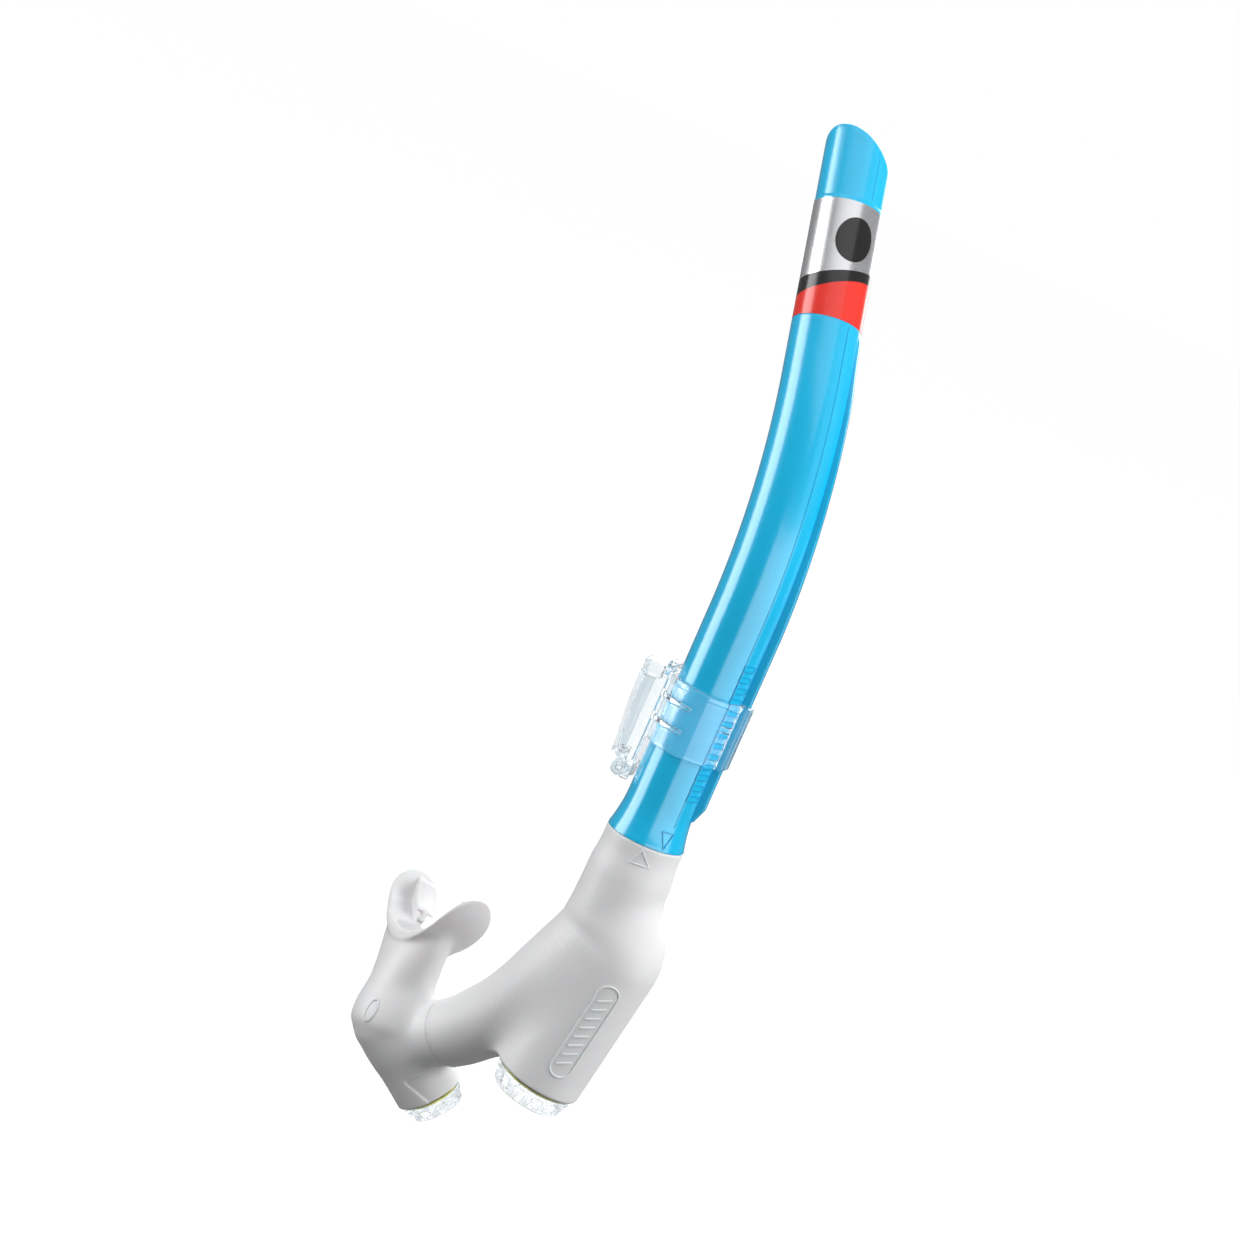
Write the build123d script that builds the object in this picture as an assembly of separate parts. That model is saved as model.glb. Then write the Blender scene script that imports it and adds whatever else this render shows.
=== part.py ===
from build123d import *
import os
from math import cos, radians, sin

os.makedirs("parts", exist_ok=True)

# A complete snorkel, in millimetres. Everything is laid out from the seam where the blue barrel
# meets the silicone neck, with +Z up the barrel's straight lower stretch. The strap clip's buckle
# is on -X and the barrel's spine rail on +X. At the end every node is shifted so that the centre
# of the clip's strap slot is the origin.

# ---- barrel ----
BARREL_R = 14.2  # outside radius
BARREL_BORE = 12.0
STRAIGHT = 96.0  # straight stretch above the seam
BEND_R = 267.0  # centre-line radius of the bend
BEND_ANGLE = 21.7  # degrees
UPPER = 101.0  # straight stretch above the bend, to the tip
BEND_AZIMUTH = 140.0  # the barrel leans towards this side
FLARE_R = 16.5  # the foot's radius at the seam
FLARE_TOP = 17.0
SPIGOT_R = 13.6
SPIGOT_LENGTH = 22.0
SCARF_AZIMUTH = 70.0  # the low side of the slanted top
SCARF_ANGLE = 47.0
SCARF_DROP = 15.0  # from the tip down to the cut's middle

# ---- spine rail ----
RAIL_WIDTH = 3.2
RAIL_R = 17.7  # outer face beside the clip
RAIL_R_TOP = 15.7  # outer face above the bend
RAIL_START = 14.0
RAIL_CHAMFER = 6.5
RAIL_ROOT = 13.0
RAIL_RUNOUT = 19.0

# ---- printed film round the top ----
FILM_START = 21.0  # above the bend's end
FILM_LENGTH = 49.5
FILM_THICKNESS = 0.2

# ---- strap clip ----
SLIDE_GAP = 0.08
CLIP_LOW = 38.0
CLIP_HIGH = 66.0
CLIP_R = 16.4
CLIP_RIBS = (47.5, 57.5)
LIP_R = 16.9
LIP_HEIGHT = 2.2
CHANNEL_X = 18.7
CHANNEL_HALF = 5.0
CHANNEL_GAP = 0.1
BASE_OUT = 18.6  # strap side of the buckle's base
BASE_IN = 15.5
BUCKLE_HALF = 7.0  # half the buckle's width
BASE_LOW = 20.0
BASE_HIGH = 67.0
CATCH_HIGH = 70.0
HINGE_X = -20.4
HINGE_Z = 22.0
BARREL_OF_HINGE_R = 3.4
PIN_R = 1.2
EAR_IN = 4.2
LEVER_OUT = 28.2  # along the upper part
LEVER_OUT_LOW = 26.0  # at the lower end
LEVER_BREAK = 52.0  # height where the outer face starts to slope in
LEVER_IN = 21.2  # strap side of the lever
LEVER_WALL = 1.8
LEVER_LOW = 26.8
LEVER_HIGH = 67.2
GRIP_LOW = 61.0
GRIP_IN = 19.6
STRAP_SLOT_LOW = 27.0
STRAP_SLOT_HIGH = 61.0

# ---- drain chamber, neck and pipe: one silicone moulding ----
NECK_R = 16.5
NECK_LENGTH = 36.0
SEAM_GAP = 0.1
SPIGOT_GAP = 0.06
CHAMBER_FOOT = Vector(-1.0, 0.0, -109.0)  # centre of the lower rim
CHAMBER_LEAN = 9.5  # degrees from +Z towards +X
CHAMBER_R = 18.65
CHAMBER_WALL = 2.65
CHAMBER_STRAIGHT = 57.0
CHAMBER_NOSE = 23.0
CHAMBER_CHAMFER = 1.0
PIPE_R = 14.2
PIPE_BORE = 11.5
PIPE_AXIS = Vector(0.7486, -0.3038, 0.589).normalized()  # from the swivel up to the chamber
PIPE_MEETS_NECK = 79.0  # below the seam, where the two centre lines would cross
PIPE_REACH = 62.9  # from that crossing down to the swivel
PIPE_ARC_TANGENT = 55.0
PIPE_TOP_R = 16.4

# ---- elbow and mouthpiece: one silicone moulding ----
ELBOW_REACH = 23.9  # from the swivel to the elbow's centre
ELBOW_R = 14.0
VALVE_AXIS = Vector(0.6916, 0.2676, -0.670).normalized()
VALVE_BRANCH_R = 13.0  # at the rim
BRANCH_ROOT_R = 15.0
VALVE_BRANCH_BORE = 10.6
VALVE_BRANCH_LENGTH = 25.0
BRANCH_OFFSET = 9.3  # the mouth branch leaves the valve branch this far above the swivel's axis
MOUTH_CENTRE = Vector(-76.1, 33.3, -89.9)
MOUTH_AXIS = Vector(-0.003, 0.306, 0.952).normalized()
MOUTH_SIDE = Vector(0.730, -0.650, 0.2112)
FLANGE_SPAN = 55.0
FLANGE_DEPTH = 23.0
FLANGE_HEIGHT = 28.0
FLANGE_TIP_R = 11.0
FLANGE_THICKNESS = 1.8
MOUTH_WIDE = 20.0
MOUTH_HIGH = 11.0
MOUTH_WALL = 2.3
MOUTH_RUNOUT = 9.0  # how far the duct runs on, before the flange trims it
TAB_REACH = 7.5
TAB_THICKNESS = 3.2
TAB_LIP = 9.0
TAB_INNER_EDGE = 9.0

# ---- swivel connector ----
CONNECTOR_BORE = 9.8
CONNECTOR_LENGTH = 12.0  # into the elbow
CONNECTOR_PLUG = 7.6  # into the pipe
CONNECTOR_FLANGE_R = 13.9
CONNECTOR_FLANGE = 0.8
TURN_GAP = 0.06
BEAD_R = 12.2
BEAD_START = 8.0
BEAD_WIDTH = 1.5

Z = Vector(0, 0, 1)
BEND_DIR = Vector(cos(radians(BEND_AZIMUTH)), sin(radians(BEND_AZIMUTH)), 0)
BEND_TOP_DIR = BEND_DIR * sin(radians(BEND_ANGLE)) + Z * cos(radians(BEND_ANGLE))
BEND_START = Vector(0, 0, STRAIGHT)
BEND_CENTRE = BEND_START + BEND_DIR * BEND_R
BEND_END = BEND_CENTRE + (Z * sin(radians(BEND_ANGLE)) - BEND_DIR * cos(radians(BEND_ANGLE))) * BEND_R
TIP = BEND_END + BEND_TOP_DIR * UPPER
CHAMBER_AXIS = Vector(sin(radians(CHAMBER_LEAN)), 0, cos(radians(CHAMBER_LEAN)))
SWIVEL = Vector(0, 0, -PIPE_MEETS_NECK) - PIPE_AXIS * PIPE_REACH
ELBOW = SWIVEL - PIPE_AXIS * ELBOW_REACH
BRANCH_ROOT = ELBOW - VALVE_AXIS * BRANCH_OFFSET
VALVE_RIM = ELBOW + VALVE_AXIS * VALVE_BRANCH_LENGTH
SLOT_CENTRE = Vector(
    -(BASE_OUT + LEVER_IN) / 2, 0, (STRAP_SLOT_LOW + STRAP_SLOT_HIGH) / 2
)


def box_between(low, high):
    """A box from its lowest corner to its highest."""
    size = [high[i] - low[i] for i in range(3)]
    centre = [(high[i] + low[i]) / 2 for i in range(3)]
    return Pos(*centre) * Box(*size)


def rod(plane, radius, start, end):
    """A cylinder on a plane's normal, from one height to another."""
    return plane * Pos(0, 0, (start + end) / 2) * Cylinder(radius, end - start)


def ring(plane, outer, inner, start, end):
    return rod(plane, outer, start, end) - rod(plane, inner, start - 1, end + 1)


def bend_section(shape):
    """Carries a section at the bend's start to the bend's end."""
    return shape.rotate(Axis(BEND_CENTRE, Z.cross(BEND_DIR)), BEND_ANGLE)


# ---------------------------------------------------------------- barrel


def barrel_path(start):
    half = radians(BEND_ANGLE / 2)
    middle = BEND_CENTRE + (Z * sin(half) - BEND_DIR * cos(half)) * BEND_R
    return (
        Line((0, 0, start), BEND_START)
        + ThreePointArc(BEND_START, middle, BEND_END)
        + Line(BEND_END, TIP)
    )


def spine_rail():
    """A rail that stops the clip turning; it grows shallower through the bend."""
    foot = Polyline(
        (RAIL_ROOT, RAIL_START),
        (FLARE_R - 1.5, RAIL_START),
        (RAIL_R, RAIL_START + RAIL_CHAMFER),
        (RAIL_R, STRAIGHT),
        (RAIL_ROOT, STRAIGHT),
        close=True,
    )
    lower = extrude(Plane.XZ * make_face(foot), amount=RAIL_WIDTH / 2, both=True)
    half = radians(BEND_ANGLE / 2)
    middle = BEND_CENTRE + (Z * sin(half) - BEND_DIR * cos(half)) * BEND_R

    def section(outer):
        width = outer - RAIL_ROOT
        return Pos((outer + RAIL_ROOT) / 2, 0, STRAIGHT) * Rectangle(width, RAIL_WIDTH)

    top = bend_section(section(RAIL_R_TOP))
    bend = sweep(
        [section(RAIL_R), top], path=ThreePointArc(BEND_START, middle, BEND_END), multisection=True
    )
    upper = extrude(top, amount=RAIL_RUNOUT, dir=BEND_TOP_DIR)
    return lower + bend + upper


def scarf_cutter():
    """Everything above the slanted top."""
    low_side = Vector(cos(radians(SCARF_AZIMUTH)), sin(radians(SCARF_AZIMUTH)), 0)
    low_side = (low_side - BEND_TOP_DIR * low_side.dot(BEND_TOP_DIR)).normalized()
    angle = radians(SCARF_ANGLE)
    normal = BEND_TOP_DIR * cos(angle) + low_side * sin(angle)
    plane = Plane(origin=TIP - BEND_TOP_DIR * SCARF_DROP, z_dir=normal)
    return plane * Pos(0, 0, 50) * Box(120, 120, 100)


def tube():
    outer = sweep(Plane.XY * Circle(BARREL_R), path=barrel_path(0))
    flare_line = TangentArc((BARREL_R, FLARE_TOP), (FLARE_R, 0), tangent=(0, -1))
    foot_line = flare_line + Polyline(
        (FLARE_R, 0), (BARREL_BORE - 1, 0), (BARREL_BORE - 1, FLARE_TOP), (BARREL_R, FLARE_TOP)
    )
    foot = revolve(Plane.XZ * make_face(foot_line), Axis.Z)
    spigot = rod(Plane.XY, SPIGOT_R, -SPIGOT_LENGTH, 1)
    spigot = chamfer(spigot.edges().sort_by(Axis.Z)[0], 0.8)
    below = Pos(0, 0, -SPIGOT_LENGTH)
    bore = sweep(below * Circle(BARREL_BORE), path=barrel_path(-SPIGOT_LENGTH))
    body = outer + foot + spigot + spine_rail() - bore - scarf_cutter()
    return body


def decal_band():
    plane = Plane(origin=BEND_END, z_dir=BEND_TOP_DIR)
    end = FILM_START + FILM_LENGTH
    return ring(plane, BARREL_R + FILM_THICKNESS, BARREL_R, FILM_START, end)


# ---------------------------------------------------------------- strap clip


def clip_holder():
    """A sleeve with a channel for the rail, and the buckle's base with its hinge ears."""
    sleeve = rod(Plane.XY, CLIP_R, CLIP_LOW, CLIP_HIGH)
    sleeve = fillet(sleeve.edges().filter_by(GeomType.CIRCLE), 0.8)
    lip = rod(Plane.XY, LIP_R, CLIP_HIGH - LIP_HEIGHT, CLIP_HIGH)
    channel = box_between((8, -CHANNEL_HALF, CLIP_LOW), (CHANNEL_X, CHANNEL_HALF, CLIP_HIGH))
    channel = fillet(channel.faces().sort_by(Axis.X)[-1].edges(), 1.4)
    base = box_between((-BASE_OUT, -BUCKLE_HALF, BASE_LOW), (-BASE_IN, BUCKLE_HALF, BASE_HIGH))
    base = fillet(base.edges().filter_by(Axis.X), 1.2)
    catch_low = BASE_HIGH - 4
    catch = box_between((-GRIP_IN + 0.4, -5, catch_low), (-BASE_IN, 5, CATCH_HIGH))
    catch = fillet(catch.edges().filter_by(Axis.Y).sort_by(Axis.Z)[-2:], 1.2)
    shape = sleeve + lip + channel + base + catch
    for rib_z in CLIP_RIBS:
        rib = rod(Plane.XY, CLIP_R + 0.7, rib_z - 0.9, rib_z + 0.9)
        shape += rib & box_between((-25, -25, 0), (-1, 0, 90))
    hinge = Plane(origin=(HINGE_X, 0, HINGE_Z), z_dir=(0, 1, 0))
    for side in (-1, 1):
        near, far = sorted((side * EAR_IN, side * BUCKLE_HALF))
        ear = rod(hinge, BARREL_OF_HINGE_R, near, far)
        web = box_between((HINGE_X, near, HINGE_Z - BARREL_OF_HINGE_R), (-BASE_IN, far, HINGE_Z + 1.5))
        shape += ear + web
    bore = rod(Plane.XY, BARREL_R + SLIDE_GAP, 0, 90)
    rail_half = RAIL_WIDTH / 2 + CHANNEL_GAP
    rail_slot = box_between((0, -rail_half, 0), (RAIL_R + CHANNEL_GAP, rail_half, 90))
    lever_space = rod(hinge, BARREL_OF_HINGE_R + 0.1, -EAR_IN, EAR_IN)
    return shape - bore - rail_slot - lever_space - rod(hinge, PIN_R, -20, 20)


def clip_lever():
    """An outer plate with two side walls, a grip with three ridges, and the hinge's barrel."""
    side_view = Polyline(
        (-LEVER_OUT, LEVER_HIGH),
        (-LEVER_OUT, LEVER_BREAK),
        (-LEVER_OUT_LOW, LEVER_LOW),
        (-LEVER_IN, LEVER_LOW + 1),
        (-LEVER_IN, GRIP_LOW),
        (-GRIP_IN, GRIP_LOW + 0.5),
        (-GRIP_IN, LEVER_HIGH),
        close=True,
    )
    shape = extrude(Plane.XZ * make_face(side_view), amount=BUCKLE_HALF, both=True)
    hollow = Polyline(
        (-LEVER_OUT + LEVER_WALL, GRIP_LOW),
        (-LEVER_OUT + LEVER_WALL, LEVER_BREAK),
        (-LEVER_OUT_LOW + LEVER_WALL, LEVER_LOW + 2.5),
        (-LEVER_IN + 5, LEVER_LOW + 2.5),
        (-LEVER_IN + 5, GRIP_LOW - 0.5),
        (-LEVER_IN, GRIP_LOW),
        close=True,
    )
    shape -= extrude(Plane.XZ * make_face(hollow), amount=BUCKLE_HALF - 1.6, both=True)
    for step in range(3):
        notch_z = LEVER_HIGH - 2.0 - 2.2 * step
        shape -= Pos(-LEVER_OUT, 0, notch_z) * Rot(90, 0, 0) * Cylinder(0.5, 20)
    hinge = Plane(origin=(HINGE_X, 0, HINGE_Z), z_dir=(0, 1, 0))
    half = EAR_IN - 0.1
    link = Polyline(
        (-LEVER_OUT_LOW + 0.4, LEVER_LOW + 1),
        (-LEVER_IN, LEVER_LOW + 1),
        (HINGE_X + 1.5, HINGE_Z + 2.2),
        (HINGE_X - 2.4, HINGE_Z + 1.0),
        close=True,
    )
    shape += extrude(Plane.XZ * make_face(link), amount=half, both=True)
    shape += rod(hinge, BARREL_OF_HINGE_R - 0.1, -half, half)
    return shape - rod(hinge, PIN_R + TURN_GAP, -20, 20)


def clip_hinge_pin():
    hinge = Plane(origin=(HINGE_X, 0, HINGE_Z), z_dir=(0, 1, 0))
    return rod(hinge, PIN_R, -BUCKLE_HALF + 0.2, BUCKLE_HALF - 0.2)


# ---------------------------------------------------------------- chamber moulding


def bullet(plane, radius, straight, nose, start, edge):
    """A cylinder with a round nose; edge is the chamfer at the open end."""
    shoulder = (radius * 0.35, straight + nose * 0.88)
    side = TangentArc((radius, straight), shoulder, tangent=(0, 1))
    rest = Polyline(
        shoulder,
        (0, straight + nose),
        (0, start),
        (radius - edge, start),
        (radius, start + edge + 0.001),
        (radius, straight),
    )
    return plane * revolve(Plane.XZ * make_face(side + rest), Axis.Z)


def pipe(radius, top_radius, start):
    """The bent pipe, from start millimetres past the swivel up into the neck."""
    crossing = Vector(0, 0, -PIPE_MEETS_NECK)
    bend_start = crossing - PIPE_AXIS * PIPE_ARC_TANGENT
    bend_end = crossing + Z * PIPE_ARC_TANGENT
    first = SWIVEL + PIPE_AXIS * start
    bend = TangentArc(bend_start, bend_end, tangent=PIPE_AXIS)
    foot = rod(Plane(origin=first, z_dir=PIPE_AXIS), radius, 0, (bend_start - first).length)
    low = Plane(origin=bend_start, z_dir=PIPE_AXIS) * Circle(radius)
    high = Plane(origin=bend_end, z_dir=Z) * Circle(top_radius)
    return foot + sweep([low, high], path=bend, multisection=True)


def chamber_shell():
    chamber = Plane(origin=CHAMBER_FOOT, z_dir=CHAMBER_AXIS)
    neck = rod(Plane.XY, NECK_R, -NECK_LENGTH, -SEAM_GAP)
    outer = neck + pipe(PIPE_R, PIPE_TOP_R, CONNECTOR_FLANGE / 2)
    outer += bullet(chamber, CHAMBER_R, CHAMBER_STRAIGHT, CHAMBER_NOSE, 0, CHAMBER_CHAMFER)
    inner = rod(Plane.XY, BARREL_BORE, -NECK_LENGTH - 2, 1) + pipe(PIPE_BORE, BARREL_BORE, 0)
    inner += rod(Plane.XY, SPIGOT_R + SPIGOT_GAP, -SPIGOT_LENGTH - 0.3, 1)
    inner_r = CHAMBER_R - CHAMBER_WALL
    inner += bullet(chamber, inner_r, CHAMBER_STRAIGHT, CHAMBER_NOSE - CHAMBER_WALL, -1, 0)
    cap_space = rod(chamber, CHAMBER_R - 1.1, -15, 0)
    return outer - inner - cap_space


# ---------------------------------------------------------------- elbow moulding


def mouth_branch(wall):
    """The tube from the elbow up to the mouthpiece, round below and oval above."""
    above = MOUTH_CENTRE + MOUTH_AXIS * MOUTH_RUNOUT
    mouth = Plane(origin=above, x_dir=MOUTH_SIDE, z_dir=MOUTH_AXIS)
    rise = MOUTH_CENTRE - BRANCH_ROOT
    low = Plane(origin=BRANCH_ROOT, x_dir=MOUTH_SIDE, z_dir=rise)
    middle = Plane(origin=BRANCH_ROOT + rise * 0.5, x_dir=MOUTH_SIDE, z_dir=rise)
    return loft(
        [
            low * Circle(VALVE_BRANCH_R - wall),
            middle * Ellipse(13.6 - wall, 12.6 - wall),
            mouth * Ellipse(MOUTH_WIDE - wall, MOUTH_HIGH - wall),
        ]
    )


def arch_band(half_span, depth, thickness):
    """The space between two half ellipses, in the mouthpiece's own plane."""
    centre = Pos(0, FLANGE_DEPTH)
    band = centre * Ellipse(half_span, depth) - centre * Ellipse(half_span - thickness, depth - thickness)
    return band & Pos(0, -2) * Rectangle(200, 2 * FLANGE_DEPTH)


def arch_space():
    """The hollow of the dental arch, as far as the middle of the flange."""
    half = (FLANGE_SPAN - FLANGE_THICKNESS) / 2
    hollow = Pos(0, FLANGE_DEPTH) * Ellipse(half, FLANGE_DEPTH - FLANGE_THICKNESS / 2)
    across = Plane(origin=MOUTH_CENTRE, x_dir=MOUTH_SIDE, z_dir=MOUTH_SIDE.cross(MOUTH_AXIS))
    return extrude(across * hollow, amount=40, both=True)


def mouthpiece():
    """A curved flange that sits inside the lips, with two bite tabs."""
    across = Plane(origin=MOUTH_CENTRE, x_dir=MOUTH_SIDE, z_dir=MOUTH_SIDE.cross(MOUTH_AXIS))
    facing = Plane(origin=MOUTH_CENTRE, x_dir=MOUTH_SIDE, z_dir=MOUTH_AXIS)
    half = FLANGE_SPAN / 2
    flange = extrude(
        across * arch_band(half, FLANGE_DEPTH, FLANGE_THICKNESS), amount=FLANGE_HEIGHT / 2, both=True
    )
    outline = extrude(facing * RectangleRounded(FLANGE_SPAN + 4, FLANGE_HEIGHT, 9), amount=30, both=True)
    beside = Plane(origin=MOUTH_CENTRE, x_dir=MOUTH_AXIS, z_dir=MOUTH_SIDE)
    lobes = Pos(FLANGE_DEPTH - 30, 0) * RectangleRounded(60, FLANGE_HEIGHT, FLANGE_TIP_R)
    shape = flange & outline & extrude(beside * lobes, amount=60, both=True)
    inner_half = half - FLANGE_THICKNESS
    inner_depth = FLANGE_DEPTH - FLANGE_THICKNESS
    tab = extrude(
        across * arch_band(inner_half + 0.3, inner_depth + 0.3, TAB_REACH), amount=TAB_THICKNESS / 2, both=True
    )
    lip_half = inner_half - TAB_REACH + 1.6
    lip = extrude(
        across * arch_band(lip_half, inner_depth - TAB_REACH + 1.6, 1.6), amount=TAB_LIP / 2, both=True
    )
    gap = extrude(across * Rectangle(2 * TAB_INNER_EDGE, 200), amount=40, both=True)
    return shape + (tab + lip - gap)


def elbow_shell():
    swivel = Plane(origin=SWIVEL, z_dir=-PIPE_AXIS)
    branch = Plane(origin=ELBOW, z_dir=VALVE_AXIS)
    start = CONNECTOR_FLANGE / 2 + 0.1
    outer = rod(swivel, ELBOW_R, start, ELBOW_REACH) + Pos(*BRANCH_ROOT) * Sphere(BRANCH_ROOT_R)
    length = VALVE_BRANCH_LENGTH + BRANCH_OFFSET
    taper = Cone(BRANCH_ROOT_R - 0.1, VALVE_BRANCH_R, length)
    outer += branch * Pos(0, 0, VALVE_BRANCH_LENGTH - length / 2) * taper
    outer += mouth_branch(0) - arch_space()
    outer += mouthpiece()
    inner = rod(swivel, PIPE_BORE, 0, ELBOW_REACH) + Pos(*BRANCH_ROOT) * Sphere(PIPE_BORE)
    inner += rod(branch, VALVE_BRANCH_BORE, -BRANCH_OFFSET, VALVE_BRANCH_LENGTH + 1)
    inner += mouth_branch(MOUTH_WALL)
    groove_end = BEAD_START + BEAD_WIDTH + 0.1
    inner += rod(swivel, BEAD_R + TURN_GAP, BEAD_START - 0.1, groove_end)
    return outer - inner


# ---------------------------------------------------------------- swivel and valves


def swivel_connector():
    """A rigid spool: fixed in the pipe, with a bead that the elbow turns on."""
    plane = Plane(origin=SWIVEL, z_dir=PIPE_AXIS)
    half = CONNECTOR_FLANGE / 2
    spool = rod(plane, PIPE_BORE, 0, CONNECTOR_PLUG)
    spool += rod(plane, PIPE_BORE - TURN_GAP, -CONNECTOR_LENGTH, 0)
    spool += rod(plane, CONNECTOR_FLANGE_R, -half, half)
    spool += rod(plane, BEAD_R, -BEAD_START - BEAD_WIDTH, -BEAD_START)
    return spool - rod(plane, CONNECTOR_BORE, -20, 20)


class ValveSize:
    """One purge valve's sizes, worked out from the moulding's bore and the cap."""

    def __init__(self, bore, cap_r, cap_end_r, cap_depth, windows):
        self.bore = bore
        self.cap_r = cap_r
        self.cap_end_r = cap_end_r
        self.cap_depth = cap_depth
        self.windows = windows
        self.plate = 1.2
        self.wall = 1.2
        self.disc = 0.9
        self.disc_r = cap_r - self.wall - 1.0
        self.opening_r = bore - 2.6
        self.hub_r = 3.2
        self.stem_r = 1.5


VALVE_TRAVEL = 1.5


def valve_seat(plane, size):
    """A plug with a hub on spokes: the disc closes over the gaps between them."""
    shape = ring(plane, size.cap_r, size.opening_r, 0, size.plate)
    shape += ring(plane, size.bore, size.bore - 1.4, -6, 0.1)
    shape += rod(plane, size.hub_r, 0, size.plate)
    for turn in range(6):
        spoke = Pos(size.opening_r / 2, 0, size.plate / 2) * Box(size.opening_r + 1, 1.6, size.plate)
        shape += plane * Rot(0, 0, 60 * turn) * spoke
    return shape - rod(plane, size.stem_r + 0.08, -5, 5)


def valve_disc(plane, size):
    """A soft disc with a stem and a bulb that holds it in the hub."""
    shape = rod(plane, size.disc_r, size.plate, size.plate + size.disc)
    shape += rod(plane, size.stem_r, -VALVE_TRAVEL - 1.6, size.plate + 0.1)
    bulb = Pos(0, 0, -VALVE_TRAVEL - 1.5) * Cone(1.2, size.stem_r + 0.8, 2.6)
    return shape + plane * bulb


def valve_cap(plane, size):
    """A tapered clear cap with windows round its side and slots in its end."""
    end = size.cap_depth
    outline = Polyline(
        (size.cap_r, size.plate),
        (size.cap_r, size.plate + 1.2),
        (size.cap_end_r, end - 1.0),
        (size.cap_end_r - 1.0, end),
        (0, end),
        (0, end - size.wall),
        (size.cap_end_r - size.wall, end - size.wall),
        (size.cap_r - size.wall, size.plate + 1.2),
        (size.cap_r - size.wall, size.plate),
        close=True,
    )
    shape = plane * revolve(Plane.XZ * make_face(outline), Axis.Z)
    window_low = size.plate + 2.0
    window_high = end - 1.9
    window = Pos(size.cap_r, 0, (window_low + window_high) / 2)
    window *= Box(8, 4.6, window_high - window_low)
    slot_mid = size.cap_end_r * 0.58
    slot = Pos(slot_mid, 0, end) * Box(size.cap_end_r * 0.42, 2.6, 6)
    for turn in range(size.windows):
        spin = Rot(0, 0, 360 / size.windows * turn)
        shape -= plane * spin * window
        shape -= plane * spin * slot
    return shape


CHAMBER_VALVE = ValveSize(CHAMBER_R - CHAMBER_WALL, 17.0, 15.2, 9.5, 12)
ELBOW_VALVE = ValveSize(VALVE_BRANCH_BORE, 12.7, 11.4, 8.0, 9)
CHAMBER_VALVE_PLANE = Plane(origin=CHAMBER_FOOT, x_dir=(0, 1, 0), z_dir=-CHAMBER_AXIS)
ELBOW_VALVE_PLANE = Plane(origin=VALVE_RIM, x_dir=PIPE_AXIS, z_dir=VALVE_AXIS)

NODES = {
    "tube": tube(),
    "decal_band": decal_band(),
    "clip_holder": clip_holder(),
    "clip_lever": clip_lever(),
    "clip_hinge_pin": clip_hinge_pin(),
    "chamber_shell": chamber_shell(),
    "chamber_valve_seat": valve_seat(CHAMBER_VALVE_PLANE, CHAMBER_VALVE),
    "chamber_valve_disc": valve_disc(CHAMBER_VALVE_PLANE, CHAMBER_VALVE),
    "chamber_valve_cap": valve_cap(CHAMBER_VALVE_PLANE, CHAMBER_VALVE),
    "swivel_connector": swivel_connector(),
    "elbow_shell": elbow_shell(),
    "elbow_valve_seat": valve_seat(ELBOW_VALVE_PLANE, ELBOW_VALVE),
    "elbow_valve_disc": valve_disc(ELBOW_VALVE_PLANE, ELBOW_VALVE),
    "elbow_valve_cap": valve_cap(ELBOW_VALVE_PLANE, ELBOW_VALVE),
}

for name, shape in NODES.items():
    placed = shape.moved(Location(-SLOT_CENTRE))
    print(name, len(placed.solids()), round(placed.volume, 1))
    export_step(placed, f"parts/{name}.step")
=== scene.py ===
from math import asin, atan2, cos, pi, radians, sin, sqrt, tan

import bpy
import numpy as np
from mathutils import Matrix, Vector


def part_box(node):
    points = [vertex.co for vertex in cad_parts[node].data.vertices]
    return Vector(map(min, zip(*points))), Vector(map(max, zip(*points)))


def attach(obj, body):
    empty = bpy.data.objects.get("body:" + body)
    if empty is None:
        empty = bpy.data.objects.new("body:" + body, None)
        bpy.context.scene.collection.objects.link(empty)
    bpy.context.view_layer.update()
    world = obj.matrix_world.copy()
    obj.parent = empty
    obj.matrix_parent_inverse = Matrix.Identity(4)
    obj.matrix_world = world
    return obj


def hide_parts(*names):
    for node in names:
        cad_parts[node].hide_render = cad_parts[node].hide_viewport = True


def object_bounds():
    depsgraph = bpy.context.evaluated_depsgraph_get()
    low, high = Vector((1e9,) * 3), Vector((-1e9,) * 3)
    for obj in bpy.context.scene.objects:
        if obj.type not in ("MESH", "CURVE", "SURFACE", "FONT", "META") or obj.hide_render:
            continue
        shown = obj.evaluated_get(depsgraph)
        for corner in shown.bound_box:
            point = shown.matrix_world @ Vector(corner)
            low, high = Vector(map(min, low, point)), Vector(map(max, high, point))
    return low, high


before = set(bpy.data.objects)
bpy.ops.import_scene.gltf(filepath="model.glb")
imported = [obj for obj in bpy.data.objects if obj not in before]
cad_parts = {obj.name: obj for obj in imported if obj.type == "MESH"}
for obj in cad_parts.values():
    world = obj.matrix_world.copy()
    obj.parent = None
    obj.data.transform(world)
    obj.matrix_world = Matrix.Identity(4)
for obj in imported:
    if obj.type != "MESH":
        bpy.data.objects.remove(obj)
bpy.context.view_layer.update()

# Lengths below are in millimetres from the seam where the blue barrel meets the white neck,
# with +Z up the straight lower barrel; to_row() turns them into metres in the frame's axes.
SLOT_CENTRE = np.array([-19.9, 0.0, 44.0])

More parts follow.
